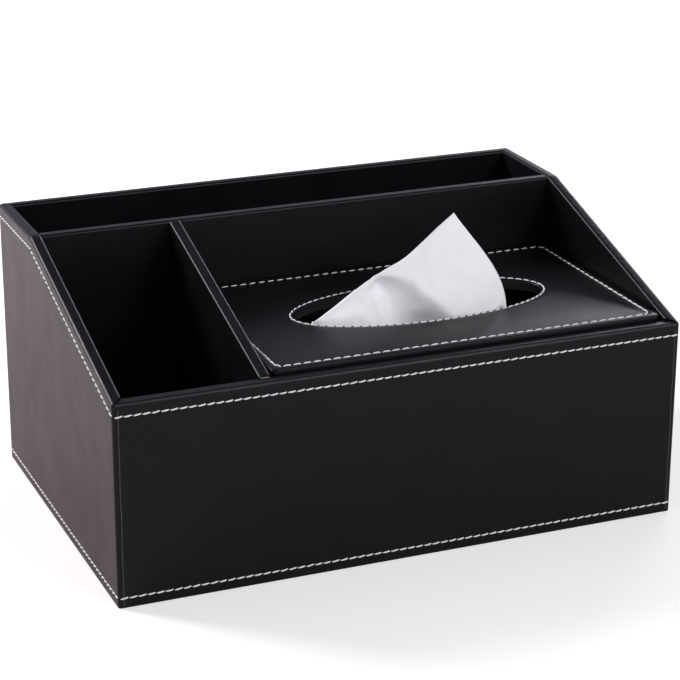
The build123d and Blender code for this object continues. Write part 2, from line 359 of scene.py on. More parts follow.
white_thread = grained_finish("white_thread", (3500, 2.0, 0.5), (0.04 * mm, 1.0),
                              (0.62, 0.62, 0.64), (0.87, 0.87, 0.9), 0.65)
fibreboard = grained_finish("fibreboard", (900, 5.0, 0.7), (0.08 * mm, 1.0),
                            (0.28, 0.19, 0.12), (0.5, 0.37, 0.25), 0.85)
strip_wood = grained_finish("strip_wood", (1.0, 4.0, 0.6), (0.1 * mm, 0.6),
                            (0.012, 0.01, 0.008), (0.035, 0.027, 0.02), 0.6, (900, 40, 900))
underside_cloth = grained_finish("underside_cloth", (2200, 3.0, 0.7), (0.15 * mm, 1.0),
                                 (0.012, 0.012, 0.014), (0.045, 0.045, 0.05), 0.95, sheen=0.3)

tissue_paper, tree, where = new_finish("tissue_paper")
clouds = specks(tree, where, 60)
fibres = specks(tree, where, 1800, 4.0, 0.7)
normal = bump(tree, fibres, 0.06 * mm, 0.7, bump(tree, clouds, 0.9 * mm, 0.6))
dress(tree, normal, clouds, (0.86, 0.855, 0.90), (0.92, 0.91, 0.95),
      {"Roughness": 0.9, "Specular IOR Level": 0.2})
print("finishes:", len(bpy.data.materials))

# %% [markdown]
# ## The leather over the four walls
#
# On the real box each wall has its own sheet of leather: it lies on the outside, rounds the top
# edge, goes down the inside and is turned in under the base. All four are shaped as one block,
# because their edges and stitch lines then meet exactly, and cut apart at mitres later. First a
# block is cut to the sloping outline, and the kink where the slope starts is rounded.

# %% Helpers that cut, round and level
close = 0.1 * mm
along_x, along_y, upright = (1, 0, 0), (0, 1, 0), (0, 0, 1)


def cut(piece, faces, place, normal):
    """Cuts the faces that pass a test along a plane."""
    pick(piece, faces=faces)
    bpy.ops.mesh.bisect(plane_co=place, plane_no=normal)


def round_edges(piece, edges, radius, segments):
    pick(piece, edges=edges)
    bpy.ops.mesh.bevel(offset=radius, segments=segments, affect="EDGES")


def put_at(level):
    """Moves everything selected to one height."""
    bpy.ops.transform.resize(value=(1, 1, 0), center_override=(0, 0, level))


def is_upright(edge):
    return abs(edge.verts[0].co.z - edge.verts[1].co.z) > 1 * mm


# %% Block with the sloping outline
kink_radius = 10 * mm
slope_normal = (0, -math.sin(slope), math.cos(slope))

bpy.ops.mesh.primitive_cube_add(size=1, location=(0, 0, back_top / 2),
                                scale=(right_x - left_x, back_y - front_y, back_top))
walls = done(bpy.context.object, "walls")
pick(walls, faces=everything)
bpy.ops.mesh.bisect(plane_co=(0, front_y, front_top), plane_no=slope_normal,
                    use_fill=True, clear_outer=True)
round_edges(walls, lambda edge: abs(middle(edge).y - kink_y) < close
            and abs(middle(edge).z - back_top) < close, kink_radius * math.tan(slope / 2), 4)
only(walls)
print("block:", len(walls.data.polygons), "faces")

# %% [markdown]
# ## Hollowing the block
#
# The top is inset to the wall's thickness. The slope would run right across the front wall's top,
# which is level in reality. So the inner edge is levelled there, with a short ramp at each end.
# Then the inside is pushed down to the floor, and only a turned-in border is left underneath.

# %% Inset the top, level the front and push the inside down
ramp_length = 3 * mm
corner_drop = 0.7 * mm
turn_in = 10 * mm


def on_inner_front(vert):
    return abs(vert.co.y - inner_front_y) < close


pick(walls, faces=lambda face: face.normal.z > 0.5)
bpy.ops.mesh.inset(thickness=wall, use_even_offset=True)
for place in (-inner_x + ramp_length, inner_x - ramp_length):
    cut(walls, lambda face: face.normal.z > 0.5 and face.calc_center_median().y < kink_y,
        (place, 0, 0), along_x)
pick(walls, verts=lambda vert: on_inner_front(vert)
     and abs(vert.co.x) < inner_x - ramp_length + close)
put_at(front_top)
pick(walls, verts=lambda vert: on_inner_front(vert) and abs(abs(vert.co.x) - inner_x) < close)
bpy.ops.transform.translate(value=(0, 0, -corner_drop))


def inside_top(face):
    centre = face.calc_center_median()
    return (face.normal.z > 0.5 and abs(centre.x) < inner_x
            and inner_front_y < centre.y < inner_back_y)


pick(walls, faces=inside_top)
bpy.ops.mesh.extrude_region_move(TRANSFORM_OT_translate={"value": (0, 0, -front_top / 2)})
put_at(floor_high.z)
bpy.ops.mesh.delete(type="FACE")
pick(walls, faces=lambda face: face.normal.z < -0.5)
bpy.ops.mesh.inset(thickness=turn_in)
bpy.ops.mesh.delete(type="FACE")
only(walls)
print("walls so far:", len(walls.data.polygons), "faces")

# %% [markdown]
# ## Rounding the edges
#
# Leather can't turn a sharp corner. It rounds the outer edges softly, the inner top edge a little
# tighter and the foot tightest. The front's top edge, where hands rest, is the roundest. All outer
# edges are bevelled in one step, by weight, so that smooth ball corners form where they meet.

# %% Bevel the outer, inner and foot edges
outer_round = 1.6 * mm
front_round = 2.5 * mm
inner_round = 1.4 * mm
foot_round = 0.6 * mm


def sides_of(edge):
    """The normals of the faces beside an edge."""
    return [face.normal for face in edge.link_faces]


def is_outer(edge):
    centre, normals = middle(edge), sides_of(edge)
    near_x = abs(abs(centre.x) - right_x) < close
    near_y = abs(centre.y - front_y) < close or abs(centre.y - back_y) < close
    if len(normals) < 2 or not (near_x or near_y):
        return False
    turned = normals[0].angle(normals[1]) > math.radians(60)
    return turned and all(normal.z > -0.5 for normal in normals)


def is_front_top(edge):
    centre = middle(edge)
    return is_outer(edge) and centre.z > front_top - close and centre.y < front_y + close


def is_inner_top(edge):
    centre, normals = middle(edge), sides_of(edge)
    inside = (abs(centre.x) < inner_x + close
              and inner_front_y - close < centre.y < inner_back_y + close)
    upward = any(normal.z > 0.5 for normal in normals)
    level = any(abs(normal.z) < 0.1 for normal in normals)
    return len(normals) == 2 and inside and upward and level


def is_foot(edge):
    return (middle(edge).z < 0.1 * close and len(edge.link_faces) == 2
            and any(abs(normal.z) < 0.1 for normal in sides_of(edge)))


pick(walls, edges=is_outer)
bpy.ops.transform.edge_bevelweight(value=outer_round / front_round)
front_edges = pick(walls, edges=is_front_top)
bpy.ops.transform.edge_bevelweight(value=1)
rounding = walls.modifiers.new("rounding", "BEVEL")
rounding.width = front_round
rounding.segments = 4
rounding.limit_method = "WEIGHT"
apply_modifiers(walls)
round_edges(walls, is_inner_top, inner_round, 4)
round_edges(walls, is_foot, foot_round, 2)
only(walls)
print("edges rounded widely along the front:", front_edges)
print("walls after bevelling:", len(walls.data.polygons), "faces")

# %% [markdown]
# ## Sunken stitch lines
#
# Where thread is pulled tight, the leather sinks into a narrow channel. One row runs under the top
# edge and follows its slope, another just above the foot. Three cuts side by side mark each
# channel, and its middle line is pressed in. Upright cuts near the corners keep the channels from
# running into the rounded edges.

# %% Cut the stitch channels
row_drop = 6.0 * mm
row_rise = 4.9 * mm
channel_half = 0.9 * mm
channel_depth = 0.35 * mm
row_end = outer_round + 1.2 * mm


def far_out(point):
    """Whether a point is in the outer half of the walls."""
    return (abs(point.x) > right_x - wall / 2 or point.y < front_y + wall / 2
            or point.y > back_y - wall / 2)


def is_outside(face):
    """A face on the outside of the four walls, not on top, inside or underneath."""
    return far_out(face.calc_center_median()) and abs(face.normal.z) < 0.3


def top_edge(y):
    """Height of the walls' top edge at a place between front and back."""
    return front_top + (y - front_y) * math.tan(slope) if y < kink_y else back_top


cut(walls, lambda face: is_outside(face) and abs(face.normal.x) > 0.9, (0, kink_y, 0), along_y)
for shift in (-channel_half, 0, channel_half):
    cut(walls, lambda face: is_outside(face) and face.calc_center_median().y < kink_y,
        (0, front_y, front_top - row_drop + shift), slope_normal)
    cut(walls, lambda face: is_outside(face) and face.calc_center_median().y > kink_y,
        (0, 0, back_top - row_drop + shift), upright)
    cut(walls, is_outside, (0, 0, row_rise + shift), upright)
for place in (left_x + row_end, right_x - row_end):
    cut(walls, lambda face: is_outside(face) and abs(face.normal.y) > 0.9, (place, 0, 0), along_x)
for place in (front_y + row_end, back_y - row_end):
    cut(walls, lambda face: is_outside(face) and abs(face.normal.x) > 0.9, (0, place, 0), along_y)
only(walls)
print("walls with channels:", len(walls.data.polygons), "faces")

# %% Press the channels in
def on_channel(vert):
    """A point on the middle line of a row, but not at the corners, where the rows end."""
    point = vert.co
    from_corner = max(right_x - abs(point.x), min(point.y - front_y, back_y - point.y))
    below_edge = top_edge(point.y) - point.z
    at_row = min(abs(below_edge - row_drop), abs(point.z - row_rise)) < 0.1 * close
    return far_out(point) and at_row and from_corner > row_end - close


pressed = pick(walls, verts=on_channel)
bpy.ops.transform.shrink_fatten(value=-channel_depth)
only(walls)
print("points pressed in along the channels:", pressed)

# %% [markdown]
# ## Cutting the block into four sheets
#
# At the front corners the side sheet wraps right round the upright edge and ends in a seam on the
# front wall, a little in from the corner. On top and inside the sheets meet in a mitre. So the
# mitre is cut only there, and each face then goes to the sheet it belongs to. The front sheet is
# levelled last: it is flat up to the mitre, where the sloping side sheets lap a little over it.

# %% Cut the mitres and separate the sheets
lap = 1 * mm

for x_sign in (-1, 1):
    for y_sign in (-1, 1):
        corner = Vector((x_sign * right_x, y_sign * back_y, 0))

        def near_corner(face):
            offset = face.calc_center_median() - corner
            return max(abs(offset.x), abs(offset.y)) < 2 * wall and not is_outside(face)

        cut(walls, near_corner, corner, (1, -x_sign * y_sign, 0))


def sheet_of(face):
    """Which wall's sheet a face belongs to."""
    centre = face.calc_center_median()
    if is_outside(face) and abs(centre.x) > right_x - outer_round:
        return "left" if centre.x < 0 else "right"
    gaps = {"front": centre.y - front_y, "back": back_y - centre.y,
            "left": centre.x - left_x, "right": right_x - centre.x}
    return min(gaps, key=gaps.get)


skins = {}
for side in ("front", "back", "left"):
    pick(walls, faces=lambda face: sheet_of(face) == side)
    bpy.ops.mesh.separate(type="SELECTED")
    bpy.ops.object.mode_set(mode="OBJECT")
    skins[side] = [piece for piece in bpy.context.selected_objects if piece is not walls][0]
skins["right"] = walls
pick(skins["front"], verts=lambda vert: vert.co.z > front_top)
put_at(front_top)
for side in ("left", "right"):
    pick(skins[side], edges=lambda edge: len(edge.link_faces) == 1
         and middle(edge).y < inner_front_y + close
         and min(vert.co.z for vert in edge.verts) > front_top - lap / 2)
    bpy.ops.mesh.extrude_region_move(TRANSFORM_OT_translate={"value": (0, 0, -lap)})
    put_at(front_top - lap)
print("sheets:", ", ".join(skins))

# %% [markdown]
# ## Giving the sheets their thickness
#
# Solidify adds the leather's thickness towards the inside, so the outside keeps its measured
# place. Weighted normals make the small rounds look soft while the large flats stay flat.

# %% Thickness, shading and finish
def finish_leather(skin, name, body, stands_for, even_offset):
    """Turns a surface into real leather that stands for a piece of the frame."""
    done(skin, name)
    thickness = skin.modifiers.new("thickness", "SOLIDIFY")
    thickness.thickness = leather
    thickness.offset = -1
    thickness.use_even_offset = even_offset
    apply_modifiers(skin)
    bpy.ops.object.shade_smooth_by_angle(angle=math.radians(40))
    even_light = skin.modifiers.new("even light", "WEIGHTED_NORMAL")
    even_light.keep_sharp = True
    apply_modifiers(skin)
    skin.data.materials.append(black_leather)
    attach(skin, body)
    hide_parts(stands_for)
    print(skin.name, len(skin.data.polygons), "faces")


cover_of = {"front": "front_cover", "back": "back_cover",
            "left": "left_side_cover", "right": "right_side_cover"}
for side, skin in skins.items():
    finish_leather(skin, side + "_skin", "box", cover_of[side], even_offset=True)

# %% [markdown]
# ## Cut edges at the front corners, coloured pale as a painted highlight
#
# Where a side sheet ends on the front wall, its cut edge shows as a thin line beside the corner,
# standing slightly proud of the leather. Its paler colour is a painted highlight: it stands for the
# bright line that runs down beside the corner. A slim bar is bevelled and cut into short lengths,
# whose points are nudged sideways, because hand-cut leather never runs dead straight.

# %% Thin cut edges beside the two front corners, their pale colour a painted highlight
lip_width = 0.4 * mm
lip_inset = outer_round + 0.9 * mm
lip_depth = 0.05 * mm
lip_drop = 0.8 * mm
lip_length = front_top - 4.5 * mm
lip_pieces = 30
wander, dent = 0.25 * mm, 0.12 * mm
# The bar's paler colour is a painted highlight along the corner, not a colour of the leather.
cut_lip_painted_highlight = grained_finish("cut_lip_painted_highlight", (700, 4.0, 0.7), (0.05 * mm, 1.0),
                          (0.004, 0.004, 0.005), (0.07, 0.065, 0.075), 0.6)

for name, x_sign in (("left_cut_lip_painted_highlight", -1), ("right_cut_lip_painted_highlight", 1)):
    clear_selection()
    bpy.ops.mesh.primitive_cube_add(
        size=1, scale=(lip_width, lip_width, lip_length),
        location=(x_sign * (right_x - lip_inset), front_y + lip_depth, front_top / 2 - lip_drop))
    lip = done(bpy.context.object, name)
    round_edges(lip, is_upright, lip_width / 4, 2)
    for step in range(1, lip_pieces):
        cut(lip, everything, (0, 0, front_top * step / lip_pieces), upright)
    only(lip)
    for vert in lip.data.vertices:
        sideways = noise.noise(Vector((x_sign * 3.0, 0.0, vert.co.z * 60)))
        vert.co += Vector((sideways * wander, min(sideways, 0) * -dent, 0))
    bpy.ops.object.shade_smooth_by_angle(angle=math.radians(50))
    lip.data.materials.append(cut_lip_painted_highlight)
    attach(lip, "box")
    print(lip.name, len(lip.data.polygons), "faces")

# %% [markdown]
# ## The lid's leather
#
# The lid is one sheet with a long oval opening. Its outer edge is turned under all round, and the
# edge of the opening is turned down through the hole. Both edges are sewn, so there is a sunken
# line just inside each, and the padded middle swells up gently between them. The outer part starts
# as a block, whose top and underside are stepped inwards ring by ring.

# %% Outer part of the lid, from a block
lid_centre = (lid_middle.x, lid_middle.y, 0)
lid_corner = 3 * mm
side_top, side_foot = -2.2 * mm, 1.2 * mm
# Each step is a distance in from the lid's edge and a depth below its highest level, in mm.
top_steps = ((0.12, 1.0), (0.45, 0.6), (0.9, 0.46), (1.8, 0.34), (2.7, 0.25), (3.6, 0.74),
             (4.5, 0.68), (6.4, 0.52), (9.0, 0.32), (12.0, 0.15), (16.0, 0.04), (20.0, 0.0))
# The same for the underside, with a height above its lowest level.
foot_steps = ((0.35, 0.35), (1.2, 0.0), (8.0, 0.0))


def next_ring(before, after, level):
    """Extrudes the selection, resizes it to the next half-size and puts it at a level."""
    bpy.ops.mesh.extrude_region_move()
    bpy.ops.transform.resize(value=(after.x / before.x, after.y / before.y, 1),
                             center_override=lid_centre)
    put_at(level)
    return after


clear_selection()
bpy.ops.mesh.primitive_cube_add(size=2, location=lid_middle, scale=lid_half)
lid_skin = done(bpy.context.object, "lid_skin")
round_edges(lid_skin, is_upright, lid_corner, 5)
for sign, shift, steps, outer_level in ((1, side_top, top_steps, lid_high.z),
                                        (-1, side_foot, foot_steps, lid_low.z)):
    pick(lid_skin, faces=lambda face: sign * face.normal.z > 0.9)
    bpy.ops.transform.translate(value=(0, 0, shift))
    half = Vector((lid_half.x, lid_half.y))
    for inward, away in steps:
        smaller = Vector((lid_half.x - inward * mm, lid_half.y - inward * mm))
        half = next_ring(half, smaller, outer_level - sign * away * mm)
    bpy.ops.mesh.delete(type="ONLY_FACE")
only(lid_skin)
print("outer part:", len(lid_skin.data.polygons), "faces")

# %% [markdown]
# ## The rim of the opening
#
# The rim is grown from an oval, ring by ring: in from under the board, up through the hole, over
# the rounded edge, through the sunken stitch line and out onto the lid's top. Such neat rings shade
# more evenly than a hole cut in a flat face.

# %% Rim of the opening, ring by ring
rim_points = 96
opening_half = Vector((63.1 * mm, 25.8 * mm))
# Each step is a distance out from the opening's edge and a height from the lid's top, in mm.
rim_steps = ((5.0, -5.6), (1.2, -5.6), (0.35, -5.25), (0.0, -4.4), (0.0, -1.5), (0.12, -0.85),
             (0.5, -0.35), (1.0, -0.16), (1.6, -0.45), (2.4, -0.25), (4.0, -0.12), (6.5, 0.0))
clear_selection()
half = opening_half + Vector((rim_steps[0][0], rim_steps[0][0])) * mm
bpy.ops.mesh.primitive_circle_add(vertices=rim_points, radius=1,
                                  location=(lid_middle.x, lid_middle.y, lid_low.z))
bpy.context.object.scale = (half.x, half.y, 1)
rim = done(bpy.context.object, "rim")
pick(rim, edges=everything)
for outward, up in rim_steps[1:]:
    wider = opening_half + Vector((outward, outward)) * mm
    half = next_ring(half, wider, lid_high.z + up * mm)
only(rim)
print("rim:", len(rim.data.polygons), "faces")

# %% [markdown]
# ## Closing the lid's top
#
# The two parts are joined, and the flat between them is filled. A fill can turn its faces either
# way, so the normals are made to agree and to point out, before the thickness is added.

# %% Join the two and fill the flat between them
def join_all(pieces, name):
    """Joins pieces into the first of them."""
    clear_selection()
    for piece in pieces:
        piece.select_set(True)
    bpy.context.view_layer.objects.active = pieces[0]
    bpy.ops.object.join()
    return done(pieces[0], name)


def around_lid(edge):
    """An open edge of the lid's top: the border's inner edge, or the rim's outer edge."""
    return len(edge.link_faces) == 1 and middle(edge).z > lid_high.z - 0.1 * close


join_all([lid_skin, rim], "lid_skin")
pick(lid_skin, edges=around_lid)
bpy.ops.mesh.fill(use_beauty=True)
pick(lid_skin, faces=everything)
bpy.ops.mesh.normals_make_consistent(inside=False)
facing_up = pick(lid_skin, faces=lambda face: face.normal.z > 0.9)
if facing_up < pick(lid_skin, faces=lambda face: face.normal.z < -0.9):
    pick(lid_skin, faces=everything)
    bpy.ops.mesh.flip_normals()
finish_leather(lid_skin, "lid_skin", "lid", "lid_cover", even_offset=False)

# %% [markdown]
# ## One white stitch
#
# Every row is a saddle stitch: short lengths of thick white thread that nearly touch, each one a
# little slanted because the thread dives through a hole and comes up again at the next. One stitch
# is modelled as a slim spindle whose ends dip into the leather. It has few faces, because more than
# a thousand copies of it are made.

# %% One stitch
thread = 0.82 * mm
stitch_length = 4.1 * mm
# Where the thread narrows, as a share of its length, how much, and how far it dips, in mm.
stitch_ends = ((0.5, 0.4, 0.55), (0.4, 0.75, 0.16))

clear_selection()
bpy.ops.mesh.primitive_cylinder_add(vertices=6, radius=thread / 2, depth=stitch_length,
                                    end_fill_type="NGON", location=(0, 0, 0),
                                    rotation=(0, math.radians(90), 0))
stitch = done(bpy.context.object, "stitch")
for share in (-0.4, -0.2, 0.2, 0.4):
    cut(stitch, everything, (share * stitch_length, 0, 0), along_x)
for share, slimmer, sink in stitch_ends:
    for end in (-1, 1):
        place = end * share * stitch_length
        pick(stitch, verts=lambda vert: abs(vert.co.x - place) < close / 2)
        bpy.ops.transform.resize(value=(1, slimmer, slimmer), center_override=(place, 0, 0))
        bpy.ops.transform.translate(value=(0, 0, -sink * mm))
only(stitch)
bpy.ops.object.shade_smooth()
stitch.data.materials.append(white_thread)
print("one stitch:", len(stitch.data.polygons), "faces")

# %% [markdown]
# ## Sewing a row
#
# A row is a path on the leather, with as many whole stitches as fit its length best. Each copy is
# turned along the path and slanted, with a small unevenness that a noise gives in the same way each
# time. At the end the copies are joined, so that a row is one piece.

# %% Sewing a row along a path
slant, slant_change = 7, 4
nominal_gap = 4.4 * mm
stitch_rise = 0.05 * mm


def measure(points, closed=False):
    """A path, closed into a ring if asked, and the length from its start to each point."""
    path = list(points) + ([points[0]] if closed else [])
    lengths = [0.0]
    for first, second in zip(path, path[1:]):
        lengths.append(lengths[-1] + (second - first).length)
    return path, lengths


def point_along(path, lengths, distance):
    """The point at a distance along the path, and the direction there."""
    index = 0
    while index < len(path) - 2 and lengths[index + 1] < distance:
        index += 1
    step = path[index + 1] - path[index]
    share = (distance - lengths[index]) / (lengths[index + 1] - lengths[index])
    return path[index] + step * share, step.normalized()


def placed_copy(piece, matrix):
    """A copy of a piece with a mesh of its own, put in its place."""
    twin = bpy.data.objects.new(piece.name, piece.data.copy())
    bpy.context.scene.collection.objects.link(twin)
    twin.matrix_world = matrix
    return twin


def sew(name, points, outward, pitch, body, closed=False):
    """One row of stitches on a path, facing outward."""
    path, lengths = measure(points, closed)
    count = round(lengths[-1] / pitch)
    gap = lengths[-1] / count
    stitches = []
    for index in range(count):
        place, ahead = point_along(path, lengths, (index + 0.5) * gap)
        unevenness = noise.noise(place * 900)
        ahead = Matrix.Rotation(math.radians(slant + slant_change * unevenness), 3, outward) @ ahead
        size = gap / nominal_gap * (1 + 0.05 * unevenness)
        turned = Matrix((ahead * size, outward.cross(ahead), outward)).transposed().to_4x4()
        shift = Matrix.Translation(place + outward * stitch_rise)
        stitches.append(placed_copy(stitch, shift @ turned))
    row = join_all(stitches, name)
    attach(row, body)
    print(f"{name}: {count} stitches, {gap / mm:.2f} mm apart")


# %% [markdown]
# ## Rows on the walls
#
# Each wall has a row under its top edge and one above its foot. The rows stop just short of the
# corners, and the upper ones turn at the kink. All run so that the stitches lean the same way.

# %% Rows on the walls
wall_pitch = 4.15 * mm
end_gap = 0.7 * mm
near_left, near_right = left_x + end_gap, right_x - end_gap
side_stops = (front_y + end_gap, kink_y, back_y - end_gap)
wall_rows = (("front", (0, -1, 0), [(near_left, front_y), (near_right, front_y)]),
             ("back", (0, 1, 0), [(near_right, back_y), (near_left, back_y)]),
             ("left", (-1, 0, 0), [(left_x, y) for y in side_stops[::-1]]),
             ("right", (1, 0, 0), [(right_x, y) for y in side_stops]))
for side, outward, stops in wall_rows:
    top_row = [Vector((x, y, top_edge(y) - row_drop)) for x, y in stops]
    foot_row = [Vector((x, y, row_rise)) for x, y in stops]
    sew(side + "_top_stitching", top_row, Vector(outward), wall_pitch, "box")
    sew(side + "_foot_stitching", foot_row, Vector(outward), wall_pitch, "box")

# %% [markdown]
# ## Rows on the lid
#
# The lid has a row round its outer edge, with rounded corners, and one round the opening. Both lie
# in the sunken lines, and the outer one sinks in a little more along the back.

# %% Rows on the lid
edge_pitch, opening_pitch = 4.75 * mm, 3.95 * mm
row_inset = 3.6 * mm
row_corner = 4 * mm
back_sink, front_sink = 0.85 * mm, 0.5 * mm
opening_row_out, opening_sink = 1.6 * mm, 0.3 * mm


def oval(outward, level):
    """Points round the opening, a given distance outside its edge."""
    return [Vector((lid_middle.x + (opening_half.x + outward) * math.cos(turn),
                    lid_middle.y + (opening_half.y + outward) * math.sin(turn), level))
            for turn in (math.tau * step / rim_points for step in range(rim_points))]


lid_row = []
for x_sign, y_sign, start in ((1, 1, 0), (-1, 1, 90), (-1, -1, 180), (1, -1, 270)):
    corner_x = lid_middle.x + x_sign * (lid_half.x - row_inset - row_corner)
    corner_y = lid_middle.y + y_sign * (lid_half.y - row_inset - row_corner)
    level = lid_high.z - (back_sink if y_sign > 0 else front_sink)
    for turn in (math.radians(start + 15 * step) for step in range(7)):
        lid_row.append(Vector((corner_x + row_corner * math.cos(turn),
                               corner_y + row_corner * math.sin(turn), level)))
sew("lid_edge_stitching", lid_row, Vector(upright), edge_pitch, "lid", closed=True)
sew("lid_opening_stitching", oval(opening_row_out, lid_high.z - opening_sink), Vector(upright),
    opening_pitch, "lid", closed=True)
only(stitch)
bpy.ops.object.delete()

# %% [markdown]
# ## The stack of tissues
#
# Under the lid lies a stack of folded tissues. Each one is a soft flat packet with a round fold
# along its front and back, and no two lie exactly alike. One packet is modelled and copied upwards,
# each copy shifted and turned a little by a noise that gives the same stack every time.

# %% One folded tissue, copied into a stack
stack_low, stack_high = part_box("tissue_stack")
stack_middle = (stack_low + stack_high) / 2
packet_count = 26
packet = (stack_high.z - stack_low.z) / packet_count
packet_margin = 3 * mm
packet_shift = 0.9 * mm
packet_turn = 0.5
packet_layers = (0.4, 7.9, 15.2)

clear_selection()
bpy.ops.mesh.primitive_cube_add(size=1, location=(0, 0, 0),
                                scale=(stack_high.x - stack_low.x - packet_margin,
                                       stack_high.y - stack_low.y - packet_margin, packet * 0.96))
folded = done(bpy.context.object, "folded")
round_edges(folded, lambda edge: abs(edge.verts[0].co.x - edge.verts[1].co.x) > 10 * mm,
            packet * 0.42, 4)
for share in (-0.46, -0.3, -0.1, 0.12, 0.33, 0.47):
    cut(folded, everything, (share * (stack_high.x - stack_low.x), 0, 0), along_x)
only(folded)
packets = []
for index in range(packet_count):
    astray = Vector([noise.noise(Vector((index * 1.7, 3.1, layer))) for layer in packet_layers])
    place = Vector((stack_middle.x, stack_middle.y, stack_low.z + (index + 0.5) * packet))
    place += Vector((astray.x, astray.y, 0)) * packet_shift
    turn = Matrix.Rotation(math.radians(packet_turn * astray.z), 4, "Z")
    packets.append(placed_copy(folded, Matrix.Translation(place) @ turn))
tissues = join_all(packets, "stacked_tissues")
only(folded)
bpy.ops.object.delete()
only(tissues)
bpy.ops.object.shade_smooth_by_angle(angle=math.radians(50))
tissues.data.materials.append(tissue_paper)
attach(tissues, "box")
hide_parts("tissue_stack")
print(f"{packet_count} tissues, {packet / mm:.2f} mm each")

# %% [markdown]
# ## The drawn-up tissue
#
# The top tissue has been pulled through the opening by one corner. A square corner held at its tip
# hangs almost flat between its two edges, leans on the front of the opening, and has one soft
# hollow where the paper gives. The sheet is a grid whose two directions follow the tissue's own
# edges, so that the tip is a true corner. First comes its long free edge, from the tip down to the
# stack, as a smooth curve through points.

# %% The long free edge, from the tip downwards
stack_level = stack_high.z + 1.0 * mm
upper_share = 0.68
above_lid = [Vector(point) * mm for point in (
    (49.2, -30.0, 141.8), (40.2, -31.0, 135.7), (31.2, -32.0, 129.2), (22.4, -32.9, 123.5),
    (11.2, -33.7, 118.8), (-3.1, -34.9, 111.6), (-14.2, -35.6, 104.8), (-24.8, -36.2, 98.8))]
below_lid = [Vector(point) * mm for point in (
    (-34, -37, 92), (-43, -41, 84), (-49, -45, 74), (-52, -50, 67))]
for point in below_lid:
    point.z = max(point.z, stack_level)


def smooth_step(value):
    """Rises from 0 to 1 with a soft start and a soft end."""
    value = min(max(value, 0.0), 1.0)
    return value * value * (3 - 2 * value)


def curve(start, leave, end, arrive, part):
    """A point between start and end on a curve with a given direction at both."""
    return (start * (2 * part ** 3 - 3 * part ** 2 + 1) + leave * (part ** 3 - 2 * part ** 2 + part)
            + end * (3 * part ** 2 - 2 * part ** 3) + arrive * (part ** 3 - part ** 2))


def curve_through(points, share):
    """A smooth curve through the points, at a share of its number of gaps."""
    spot = share * (len(points) - 1)
    index = min(int(spot), len(points) - 2)
    before, first = points[max(index - 1, 0)], points[index]
    second, after = points[index + 1], points[min(index + 2, len(points) - 1)]
    return curve(first, (second - before) / 2, second, (after - first) / 2, spot - index)


def edge_point(share):
    """The long free edge: above the lid for the first part, then down to the stack."""
    if share <= upper_share:
        return curve_through(above_lid, share / upper_share)
    return curve_through([above_lid[-1]] + below_lid, (share - upper_share) / (1 - upper_share))


print(f"tip {above_lid[0].z / mm:.1f} mm high, stack {stack_level / mm:.1f} mm")

# %% [markdown]
# ## One strip of the tissue
#
# From each point of the free edge a strip of paper leans over to the front of the opening, falls
# from there to the stack in soft waves, and lies on the stack up to its back. Above the lid it is a
# curve with a given direction at both ends, so that it passes the rim almost straight down.

# %% One strip, from the free edge down to where it ends on the stack
right_foot = Vector((69.9, -46.0, 98.8)) * mm
lean_start = Vector((0.61, -0.26, -0.75))
passing_rim = Vector((0, -0.12, -1))
rim_half = opening_half - Vector((1.5, 1.5)) * mm
lean_steps, fall_steps, lie_steps = 24, 12, 24
wave_length, wave_height = 7.5 * mm, 1.8 * mm
rumple_height = 2.6 * mm
far_right, far_left = stack_high.x - 12 * mm, stack_low.x + 4 * mm


def rim_point(share):
    """Where a strip passes the front edge of the opening, from right to left."""
    x = right_foot.x + (above_lid[-1].x - right_foot.x) * share
    part = min(abs(x - lid_middle.x) / rim_half.x, 1.0)
    return Vector((x, lid_middle.y - rim_half.y * math.sqrt(1 - part ** 2), lid_high.z))


def parts(count):
    """Shares of a stretch in equal steps, up to its end."""
    return [step / count for step in range(1, count + 1)]


def leaning(start, foot):
    """Points from the free edge to the rim."""
    gap = (foot - start).length
    leave = ((foot - start).normalized() * 0.6 + lean_start * 0.4).normalized() * gap
    return [curve(start, leave, foot, passing_rim * gap, part) for part in parts(lean_steps)]


def falling(start):
    """Points from the rim down to the stack, in soft waves."""
    spread = 0.25 * (start.x - lid_middle.x) * (start.z - stack_level) / (34 * mm)
    landing_x = min(max(start.x + spread, stack_low.x + 3 * mm), stack_high.x - 3 * mm)
    landing = Vector((landing_x, start.y - 3 * mm, stack_level))
    sway = math.sin(start.x / wave_length) * wave_height
    return [start.lerp(landing, part)
            + Vector((0, sway * smooth_step(part * 1.4) * (1 - part * 0.3), 0))
            for part in parts(fall_steps)]


def lying(first, share):
    """Points over the stack, from its front to its back, slightly rumpled."""
    far = Vector((far_right + share * (far_left - far_right), stack_high.y - 5 * mm, stack_level))
    points = []
    for part in parts(lie_steps):
        spot = first.lerp(far, part)
        rumple = noise.noise(Vector((spot.x * 45, spot.y * 70, 2.0))) + 0.5
        rise = rumple_height * max(rumple, 0) * smooth_step(part * 5)
        points.append(spot + Vector((0, 0, rise)))
    return points


def strip_points(share):
    """A whole strip; those of the lower part of the free edge start below the lid."""
    points = [edge_point(share)]
    if share < upper_share:
        points += leaning(points[0], rim_point(share / upper_share))
    points += falling(points[-1])
    return points + lying(points[-1], share)


print("points in a strip:", len(strip_points(0.0)))

# %% [markdown]
# ## Hollow and creases
#
# Below the free edge lies a hollow, with a clear ridge above it and a valley that runs down. Finer
# creases come from layers of noise: two soft ones, a fine one, and upright gathers where the paper
# squeezes past the rim. The right lower corner is folded back a little.

# %% Hollow, creases and the folded corner
hollow_start, valley_end = Vector((4, 119.5)) * mm, Vector((20, 93)) * mm
ridge_turn, ridge_end = Vector((24.5, 114.8)) * mm, Vector((43, 96)) * mm
hollow_most, hollow_reach = 13 * mm, 20 * mm
top_fade, valley_fade = 9 * mm, 19 * mm
left_fade_start, left_fade = -2 * mm, 12 * mm
fold_start, fold_end = Vector((62.5, 96.8)) * mm, Vector((71.5, 103.4)) * mm
fold_depth = 4 * mm
